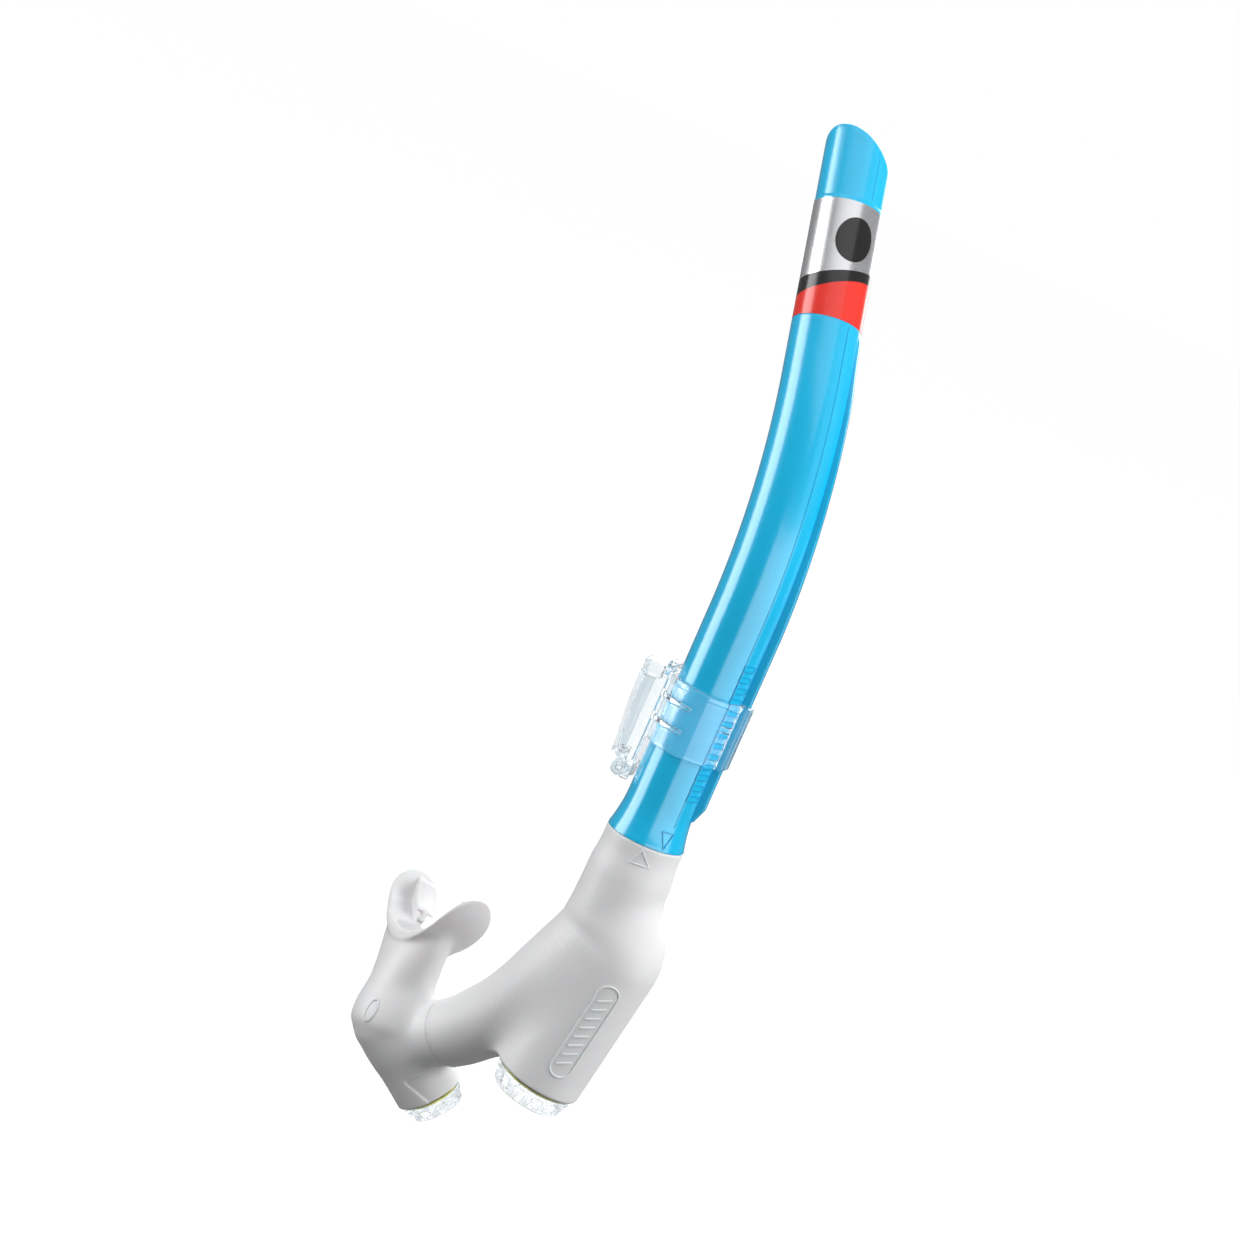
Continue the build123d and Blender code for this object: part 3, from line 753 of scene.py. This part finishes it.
def mouth_branch(p, wall=0.0):
    """Distance to the tube up to the mouth: round below, a wide oval above."""
    root = BRANCH_ROOT + TUBE_SHIFT * 0.8
    rise = MOUTH_CENTRE + TUBE_SHIFT - root
    length = np.linalg.norm(rise)
    up = rise / length
    side = unit(MOUTH_SIDE - up * MOUTH_SIDE.dot(up))
    back = np.cross(side, up)
    q = p - root
    t = (q @ up) / length
    swell = smoothstep(t, 0.3, 1.12)
    wide = 14.2 + 5.8 * swell - wall
    deep = 14.2 - 3.0 * smoothstep(t, 0.15, 1.0) - wall
    a = q @ side
    b = q @ back
    k0 = np.sqrt((a / wide) ** 2 + (b / deep) ** 2)
    k1 = np.sqrt((a / wide**2) ** 2 + (b / deep**2) ** 2) + 1e-9
    tube = k0 * (k0 - 1) / k1
    return np.where(k0 < 1e-6, -deep, tube), q @ up, length


def mouth_coordinates(p):
    """Across, into and through the mouth; the flange's long edges curl back towards the tube."""
    q = p - MOUTH_CENTRE
    u = q @ MOUTH_SIDE
    w = q @ MOUTH_BACK
    weaker = 1 - 0.75 * smoothstep(np.abs(u) / FLANGE_HALF, 0.4, 0.85)
    flare = FLANGE_FLARE * np.minimum((w / 12) ** 2, 2.5) * weaker
    return u, q @ MOUTH_AXIS + flare, w


def arch(u, v, half, depth):
    """Distance from the half ellipse of the dental arch, negative inside it."""
    v = np.minimum(v - FLANGE_DEPTH, 0)
    k0 = np.sqrt((u / half) ** 2 + (v / depth) ** 2)
    k1 = np.sqrt((u / half**2) ** 2 + (v / depth**2) ** 2) + 1e-9
    return k0 * (k0 - 1) / k1


def flange_field(p):
    u, v, w = mouth_coordinates(p)
    out = arch(u, v, FLANGE_HALF, FLANGE_DEPTH)
    size = np.abs(u) / FLANGE_HALF
    thickness = 2.2 - 0.6 * smoothstep(np.abs(w), 6, 14)
    plate = np.abs(out + 1.0) - thickness / 2
    tall = 11.4 + 1.2 * smoothstep(size, 0.12, 0.6)
    tall = tall + np.where(w < 0, -3.4 * smoothstep(u, -2, 12) + 1.6 * smoothstep(-u, 6, 20), 0)
    over = np.maximum(v - (FLANGE_DEPTH - FLANGE_TIP), 0)
    edge = np.sqrt((w / tall) ** 2 + (over / FLANGE_TIP) ** 2)
    edge = np.where(over > 0, edge, np.abs(w) / tall)
    return smooth_max(plate, (edge - 1) * 11.0, 0.9)


def bite_field(p):
    """The two tabs that the teeth hold, each with a raised inner lip."""
    u, v, w = mouth_coordinates(p)
    out = arch(u, v, FLANGE_HALF - 1.8, FLANGE_DEPTH - 1.8)
    tab = np.maximum(np.abs(w) - 1.6, np.maximum(out - 0.5, -out - 7.4))
    lip = np.maximum(np.abs(w) - 4.4, np.abs(out + 6.6) - 0.8)
    bumps = np.maximum(np.abs(w) - 2.1, np.abs(out + 3.4) - 0.5)
    both = smooth_min(smooth_min(tab, lip, 1.2), bumps, 0.8)
    both = smooth_max(both, v - (FLANGE_DEPTH - 3.0), 1.5)
    return smooth_max(both, 9.0 - np.abs(u), 1.5)


def elbow_body(p):
    bend = BRANCH_ROOT + TUBE_SHIFT * 0.35
    line = np.array([bend, ELBOW + VALVE_AXIS * 2, ELBOW + VALVE_AXIS * 18, ELBOW + VALVE_AXIS * 34])
    radii = [16.4, 16.0, 14.8, 13.9]
    branch = chain(p, line, radii)
    stub = chain(p, np.array([SWIVEL + PIPE_AXIS * 3, SWIVEL - PIPE_AXIS * 8, ELBOW]), [14.0, 14.0, 14.4])
    stub = smooth_max(stub, RING_HALF + 0.12 + (p - SWIVEL) @ PIPE_AXIS, 0.6)
    tube, along, length = mouth_branch(p)
    tube = smooth_max(tube, along - length - 12, 1.0)
    tube = smooth_max(tube, -along - 2, 4)
    body = smooth_min(branch, stub, 5)
    body = smooth_min(body, tube, 6)
    around, end = cylinder(p, SWIVEL, PIPE_AXIS, 15.6)
    return smooth_max(body, np.minimum(RING_HALF + 0.12 + end, -around), 0.4)


def skirt_depth(p):
    """How far the band round the valve sits below the elbow's wall, inside a tongue-shaped edge."""
    q = p - ELBOW
    t = q @ VALVE_AXIS
    start = np.array([0.62, -0.72, 0.31])
    side = unit(start - VALVE_AXIS * start.dot(VALVE_AXIS))
    across = np.cross(VALVE_AXIS, side)
    azimuth = np.arctan2(q @ across, q @ side)
    turned = np.abs((azimuth + SKIRT_TURN + pi) % (2 * pi) - pi)
    beside = (radians(77) + radians(1.77) * (VALVE_LENGTH - t) - turned) * 14
    inside = smooth_min(beside, t - 11.2, 3.0)
    return 0.6 * smoothstep(inside, -0.3, 0.3)


def elbow_marks():
    """A plain raised oval ring on the outside of the elbow."""
    ring = []
    for turn in np.linspace(0, 2 * pi, 40, endpoint=False):
        long_way = 5.6 * sin(turn) * unit(0.50 * RIGHT + 0.86 * ABOVE)
        short_way = 3.2 * cos(turn) * unit(0.86 * RIGHT - 0.50 * ABOVE)
        ring.append(ELBOW_MARK + long_way + short_way)
    return [project_marks(elbow_body, ring, 1.3, 0.4, closed=True)]


def elbow_field(p):
    body = elbow_body(p) + skirt_depth(p)
    u, v, _ = mouth_coordinates(p)
    inside_arch = -arch(u, v, FLANGE_HALF - 1.0, FLANGE_DEPTH - 1.0)
    body = smooth_max(body, inside_arch, 0.8)
    body = smooth_min(body, flange_field(p), 4.0)
    body = smooth_min(body, bite_field(p), 0.8)
    duct, along, _ = mouth_branch(p, MOUTH_WALL)
    duct = np.maximum(np.maximum(duct, -along), np.maximum(v - 6.0, np.abs(u - 2.0) - 12.0))
    root = np.linalg.norm(p - BRANCH_ROOT, axis=1) - 11.7
    drain, t = cylinder(p, ELBOW, VALVE_AXIS, VALVE_BORE + 0.02)
    drain = np.maximum(drain, -t - 9.3)
    spool, back = cylinder(p, SWIVEL, -PIPE_AXIS, 11.6)
    spool = np.maximum(spool, back - 23.9)
    groove, _ = cylinder(p, SWIVEL, -PIPE_AXIS, 12.35)
    groove = np.maximum(groove, back - 10.2)
    space = np.minimum(np.minimum(duct, root), np.minimum(drain, np.minimum(spool, groove)))
    shape = smooth_max(body, -space, 0.5)
    return smooth_max(shape, t - VALVE_LENGTH, 0.7)


# ------------------------------------------------------------------ printed film

FILM_R = 14.1
WAVE_TOP = (237.0, 3.1, radians(-10))
WAVE_LOW = (231.3, 4.7, radians(-12))
DOT_S = 251.5
DOT_AZIMUTH = radians(-58)
DOT_SIZE = (8.0, 9.0)


def wave(azimuth, level):
    return level[0] + level[1] * np.cos(azimuth - level[2])


def film_mesh():
    """The film as a thin closed ring; its rows follow the printed stripes' edges."""
    azimuth = np.linspace(0, 2 * pi, 144, endpoint=False)
    low = PRINT_LOW + 0.1 + print_tilt(PRINT_LOW, azimuth)
    high = PRINT_HIGH + print_tilt(PRINT_HIGH, azimuth)
    red_top = wave(azimuth, WAVE_LOW)
    black_top = wave(azimuth, WAVE_TOP)
    rings = []
    zones = []
    stripes = ((2, low, red_top, 6), (1, red_top, black_top, 3), (0, black_top, high, 12))
    for zone, start, end, rows in stripes:
        for k in range(rows):
            rings.append(on_barrel(start + (end - start) * k / rows, azimuth, FILM_R)[0])
            zones += [zone] * 144
    rings.append(on_barrel(high, azimuth, FILM_R)[0])
    zones += [0] * 144
    rings.append(on_barrel(high + 0.02, azimuth, TOP_R + 0.002)[0])
    zones += [0] * 144
    rings.append(on_barrel(low - 0.02, azimuth, TOP_R + 0.002)[0])
    zones += [2] * 144
    return np.concatenate(rings), torus_faces(len(rings), 144), zones


def dot_patch():
    """A plain dark oval printed on the silver."""
    turn = np.linspace(0, 2 * pi, 48, endpoint=False)
    rows = []
    for scale, radius in ((1.0, FILM_R - 0.05), (1.0, FILM_R + 0.03), (0.97, FILM_R + 0.05)):
        u = DOT_SIZE[0] * np.cos(turn) * scale
        v = DOT_SIZE[1] * np.sin(turn) * scale
        rows.append(on_barrel(DOT_S + v, DOT_AZIMUTH + u / FILM_R, radius)[0])
    for scale in (0.75, 0.5, 0.25, 0.08, 0.02):
        u = DOT_SIZE[0] * np.cos(turn) * scale
        v = DOT_SIZE[1] * np.sin(turn) * scale
        rows.append(on_barrel(DOT_S + v, DOT_AZIMUTH + u / FILM_R, FILM_R + 0.05)[0])
    faces = []
    for r in range(7):
        for j in range(48):
            m = (j + 1) % 48
            faces.append([r * 48 + j, r * 48 + m, (r + 1) * 48 + m, (r + 1) * 48 + j])
    faces.append([7 * 48 + j for j in range(48)])
    faces.append([j for j in reversed(range(48))])
    return np.concatenate(rows), faces


# ------------------------------------------------------------------ materials


def material(name, base, variation, scale, roughness, rough_range, bump, bump_scale, **settings):
    """A moulded plastic or rubber: uneven colour and roughness, and a fine surface texture."""
    made = bpy.data.materials.new(name)
    made.use_nodes = True
    nodes = made.node_tree.nodes
    links = made.node_tree.links
    shader = nodes["Principled BSDF"]
    place = nodes.new("ShaderNodeTexCoord")
    noise = nodes.new("ShaderNodeTexNoise")
    noise.inputs["Scale"].default_value = scale
    noise.inputs["Detail"].default_value = 3.0
    links.new(place.outputs["Object"], noise.inputs["Vector"])
    ramp = nodes.new("ShaderNodeValToRGB")
    ramp.color_ramp.elements[0].position = 0.3
    ramp.color_ramp.elements[1].position = 0.7
    for k, sign in ((0, -1), (1, 1)):
        colour = [max(0.0, min(1.0, c * (1 + sign * variation))) for c in base]
        ramp.color_ramp.elements[k].color = (*colour, 1)
    links.new(noise.outputs["Fac"], ramp.inputs["Fac"])
    links.new(ramp.outputs["Color"], shader.inputs["Base Color"])
    spread = nodes.new("ShaderNodeMapRange")
    spread.inputs["To Min"].default_value = roughness - rough_range
    spread.inputs["To Max"].default_value = roughness + rough_range
    links.new(noise.outputs["Fac"], spread.inputs["Value"])
    links.new(spread.outputs["Result"], shader.inputs["Roughness"])
    fine = nodes.new("ShaderNodeTexNoise")
    fine.inputs["Scale"].default_value = bump_scale
    fine.inputs["Detail"].default_value = 4.0
    links.new(place.outputs["Object"], fine.inputs["Vector"])
    bumps = nodes.new("ShaderNodeBump")
    bumps.inputs["Strength"].default_value = bump
    bumps.inputs["Distance"].default_value = 0.0002
    links.new(fine.outputs["Fac"], bumps.inputs["Height"])
    links.new(bumps.outputs["Normal"], shader.inputs["Normal"])
    for key, value in settings.items():
        shader.inputs[key.replace("_", " ")].default_value = value
    return made


BLUE = material(
    "blue_plastic", (0.0, 0.575, 0.955), 0.03, 30, 0.22, 0.03, 0.04, 900,
    Coat_Weight=1.0, Coat_Roughness=0.17, IOR=1.5,
)
# A darker blue for the raised marks' sides and outlines on the barrel: painted shade.
BLUE_PAINTED_SHADE = material(
    "blue_painted_shade", (0.0, 0.40, 0.74), 0.03, 30, 0.3, 0.03, 0.04, 900,
    Coat_Weight=0.4, Coat_Roughness=0.2, IOR=1.5,
)
SILVER = material(
    "silver_film", (0.80, 0.81, 0.83), 0.02, 60, 0.26, 0.04, 0.03, 700,
    Metallic=0.8, Coat_Weight=0.6, Coat_Roughness=0.08,
)
BLACK = material(
    "black_film", (0.02, 0.019, 0.02), 0.05, 60, 0.22, 0.04, 0.03, 700,
    Coat_Weight=0.3, Coat_Roughness=0.08,
)
RED = material(
    "red_film", (0.95, 0.035, 0.02), 0.03, 60, 0.22, 0.04, 0.03, 700,
    Coat_Weight=0.4, Coat_Roughness=0.12,
)
WHITE = material(
    "white_silicone", (0.85, 0.85, 0.855), 0.01, 35, 0.5, 0.05, 0.1, 1400,
    Subsurface_Weight=0.12, Subsurface_Scale=0.004, Coat_Weight=0.05, Coat_Roughness=0.4,
)
RING = material("white_plastic", (0.84, 0.84, 0.85), 0.01, 60, 0.35, 0.04, 0.04, 900)
CLEAR = material(
    "clear_plastic", (0.90, 0.935, 0.95), 0.008, 50, 0.045, 0.015, 0.02, 300,
    Transmission_Weight=1.0, IOR=1.45,
)
CAP = material(
    "clear_cap", (0.95, 0.96, 0.965), 0.008, 50, 0.14, 0.02, 0.02, 300,
    Transmission_Weight=1.0, IOR=1.25,
)
# The lever and hinge pin take a darker tint than the sleeve's clear plastic: painted shade, so that their
# edges show.
LEVER = material(
    "clear_lever", (0.76, 0.81, 0.835), 0.01, 50, 0.05, 0.015, 0.02, 300,
    Transmission_Weight=1.0, IOR=1.45,
)
YELLOW = material(
    "yellow_silicone", (0.98, 0.90, 0.05), 0.05, 90, 0.4, 0.05, 0.08, 1200,
    Subsurface_Weight=0.1, Subsurface_Scale=0.002,
)

# Light reaches what lies behind the clear plastic straight through it.
for clear, share in ((CLEAR, 0.12), (LEVER, 0.12), (CAP, 0.6)):
    tree = clear.node_tree
    path = tree.nodes.new("ShaderNodeLightPath")
    see_through = tree.nodes.new("ShaderNodeBsdfTransparent")
    see_through.inputs["Color"].default_value = (0.95, 0.97, 0.985, 1)
    at_least = tree.nodes.new("ShaderNodeMath")
    at_least.operation = "MAXIMUM"
    at_least.inputs[1].default_value = share
    tree.links.new(path.outputs["Is Shadow Ray"], at_least.inputs[0])
    both = tree.nodes.new("ShaderNodeMixShader")
    tree.links.new(at_least.outputs["Value"], both.inputs["Fac"])
    tree.links.new(tree.nodes["Principled BSDF"].outputs["BSDF"], both.inputs[1])
    tree.links.new(see_through.outputs["BSDF"], both.inputs[2])
    tree.links.new(both.outputs["Shader"], tree.nodes["Material Output"].inputs["Surface"])

# ------------------------------------------------------------------ pieces

plain = barrel_mesh()
marks, mark_zones = barrel_marks()
points, faces = merge([plain] + marks)
barrel = new_mesh("barrel_moulding", points, faces, [PLAIN_ZONE] * len(plain[1]) + mark_zones)
piece("barrel_moulding", barrel, "barrel", [BLUE, BLUE_PAINTED_SHADE], ["tube"])

points, faces, zones = film_mesh()
dot_points, dot_faces = dot_patch()
zones = list(zones) + [1] * len(dot_faces)
points, faces = merge([(points, faces), (dot_points, dot_faces)])
film = new_mesh("printed_film", points, faces, zones)
piece("printed_film", film, "barrel", [SILVER, BLACK, RED], ["decal_band"])

chamber = moulding(chamber_field, *grid_bounds("chamber_shell"), VOXEL)
points, faces = merge([chamber] + chamber_marks())
piece(
    "chamber_moulding", new_mesh("chamber_moulding", points, faces), "chamber",
    [WHITE], ["chamber_shell"], crease=50,
)

elbow = moulding(elbow_field, *grid_bounds("elbow_shell"), VOXEL * 0.86)
points, faces = merge([elbow] + elbow_marks())
piece(
    "elbow_moulding", new_mesh("elbow_moulding", points, faces), "mouthpiece",
    [WHITE], ["elbow_shell"], crease=50,
)

def clip_marks():
    """The sleeve's two front ribs with their rounded ends, and a short double mark beside the rail."""
    parts = []
    for height, start, end, width, rise in (
        (47.5, -150, -90, 1.9, 0.85),
        (57.5, -150, -90, 1.9, 0.85),
        (53.8, -44, -22, 0.6, 0.35),
        (56.2, -44, -22, 0.6, 0.35),
    ):
        azimuth = np.radians(np.linspace(start, end, 24))
        out = np.stack([np.cos(azimuth), np.sin(azimuth), np.zeros(24)], 1)
        parts.append(strip(out * CLIP_R + UP * height, out, width, rise))
    return parts


points, faces = merge(clip_marks())
piece("clip_ribs", new_mesh("clip_ribs", points, faces), "clip", [CLEAR])

KEPT = {
    "clip_holder": CLEAR,
    "clip_lever": LEVER,
    "clip_hinge_pin": LEVER,
    "swivel_connector": RING,
    "chamber_valve_seat": CAP,
    "chamber_valve_cap": CAP,
    "chamber_valve_disc": YELLOW,
    "elbow_valve_seat": CAP,
    "elbow_valve_cap": CAP,
    "elbow_valve_disc": YELLOW,
}
for name, finish in KEPT.items():
    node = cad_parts[name]
    node.data.materials.clear()
    node.data.materials.append(finish)
    node.data.set_sharp_from_angle(angle=radians(30))

# The moulded clear parts get soft edges.
ROUNDED = {"clip_holder": 0.36, "clip_lever": 0.36}
for name, grain in ROUNDED.items():
    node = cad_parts[name]
    remesh = node.modifiers.new("even", "REMESH")
    remesh.mode = "VOXEL"
    remesh.voxel_size = grain * 0.001
    remesh.use_smooth_shade = True
    soften = node.modifiers.new("soften", "SMOOTH")
    soften.factor = 0.5
    soften.iterations = 3

# ------------------------------------------------------------------ floor, light and camera

FLOOR_DROP = 0.036  # metres; room for the mouthpiece where it turns below the chamber
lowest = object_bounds()[0][2]
floor_mesh = bpy.data.meshes.new("floor")
turn = np.linspace(0, 2 * pi, 96, endpoint=False)
corners = [(8 * cos(a), 8 * sin(a), lowest - FLOOR_DROP) for a in turn]
floor_mesh.from_pydata(corners, [], [list(range(96))])
floor = bpy.data.objects.new("floor", floor_mesh)
bpy.context.scene.collection.objects.link(floor)
floor_paint = material(
    "pale_floor", (0.16, 0.16, 0.16), 0.02, 3, 0.8, 0.05, 0.02, 60, Specular_IOR_Level=0.0,
)
floor_mesh.materials.append(floor_paint)
floor.visible_glossy = False


def seen_white(tree, plain, white):
    """Mixes in a white shader where the camera sees the surroundings, straight or through clear plastic."""
    light_path = tree.nodes.new("ShaderNodeLightPath")
    direct = tree.nodes.new("ShaderNodeMath")
    direct.operation = "GREATER_THAN"
    direct.inputs[0].default_value = 0.5
    tree.links.new(light_path.outputs["Diffuse Depth"], direct.inputs[1])
    through = tree.nodes.new("ShaderNodeMath")
    through.operation = "MULTIPLY"
    tree.links.new(light_path.outputs["Is Transmission Ray"], through.inputs[0])
    tree.links.new(direct.outputs["Value"], through.inputs[1])
    either = tree.nodes.new("ShaderNodeMath")
    either.operation = "MAXIMUM"
    tree.links.new(light_path.outputs["Is Camera Ray"], either.inputs[0])
    tree.links.new(through.outputs["Value"], either.inputs[1])
    blend = tree.nodes.new("ShaderNodeMixShader")
    tree.links.new(either.outputs["Value"], blend.inputs["Fac"])
    tree.links.new(plain, blend.inputs[1])
    tree.links.new(white, blend.inputs[2])
    return blend.outputs["Shader"]


tree = floor_paint.node_tree
glow = tree.nodes.new("ShaderNodeEmission")
glow.inputs["Strength"].default_value = 0.965
lit = tree.nodes.new("ShaderNodeAddShader")
matt = tree.nodes["Principled BSDF"].outputs["BSDF"]
tree.links.new(matt, lit.inputs[0])
tree.links.new(glow.outputs["Emission"], lit.inputs[1])
white_floor = seen_white(tree, matt, lit.outputs["Shader"])
tree.links.new(white_floor, tree.nodes["Material Output"].inputs["Surface"])

camera = bpy.data.objects.new("camera", bpy.data.cameras.new("camera"))
bpy.context.scene.collection.objects.link(camera)
turned = np.eye(4)
turned[:3, 0] = RIGHT
turned[:3, 1] = ABOVE
turned[:3, 2] = BACK
turned[:3, 3] = EYE
camera.matrix_world = Matrix(turned.tolist())
camera.data.sensor_width = 36.0
camera.data.lens = 116.13
camera.data.clip_end = 60.0
bpy.context.scene.camera = camera

MIDDLE = np.array([-0.02, 0.01, 0.02])
FRONT = unit([BACK[0], BACK[1], 0])
SIDE = unit(np.cross(UP, FRONT))


def softbox(name, azimuth, distance, height, tilt, wide, tall, power, use="both"):
    """A large soft light; azimuth in degrees from the camera's side to the right, tilt down from level."""
    a = radians(azimuth)
    flat = unit(FRONT * cos(a) + SIDE * sin(a))
    z = flat * cos(radians(tilt)) + UP * sin(radians(tilt))
    x = unit(np.cross(UP, z))
    y = np.cross(z, x)
    light = bpy.data.lights.new(name, "AREA")
    light.shape = "RECTANGLE"
    light.size = wide
    light.size_y = tall
    light.energy = power
    obj = bpy.data.objects.new(name, light)
    bpy.context.scene.collection.objects.link(obj)
    place = np.eye(4)
    place[:3, 0] = x
    place[:3, 1] = y
    place[:3, 2] = z
    place[:3, 3] = MIDDLE + flat * distance + UP * height
    obj.matrix_world = Matrix(place.tolist())
    obj.visible_camera = False
    obj.visible_transmission = use == "glossy"
    obj.visible_diffuse = use != "glossy"
    obj.visible_glossy = use != "diffuse"
    return obj


softbox("left_strip", -82, 1.3, -0.2, 0, 0.85, 1.1, 16, "glossy")
softbox("right_box", 41, 1.45, -0.3, 0, 2.1, 1.1, 17, "glossy")
softbox("top_box", -10, 1.3, 1.45, 47, 3.0, 1.4, 13)
softbox("key_fill", 76, 1.7, 1.0, 30, 2.0, 1.5, 42, "diffuse")
softbox("left_fill", -80, 1.3, 0.5, 20, 1.0, 1.0, 12, "diffuse")
softbox("rear_fill", 165, 1.2, 0.6, 28, 1.4, 1.0, 13)

world = bpy.data.worlds.new("studio")
bpy.context.scene.world = world
world.use_nodes = True
tree = world.node_tree
background = tree.nodes["Background"]
background.inputs["Color"].default_value = (0.97, 0.98, 1.0, 1)
background.inputs["Strength"].default_value = 0.18
seen = tree.nodes.new("ShaderNodeBackground")
seen.inputs["Color"].default_value = (1, 1, 1, 1)
seen.inputs["Strength"].default_value = 1.0
white_world = seen_white(tree, background.outputs["Background"], seen.outputs["Background"])
tree.links.new(white_world, tree.nodes["World Output"].inputs["Surface"])
bpy.context.scene.view_settings.view_transform = "Standard"
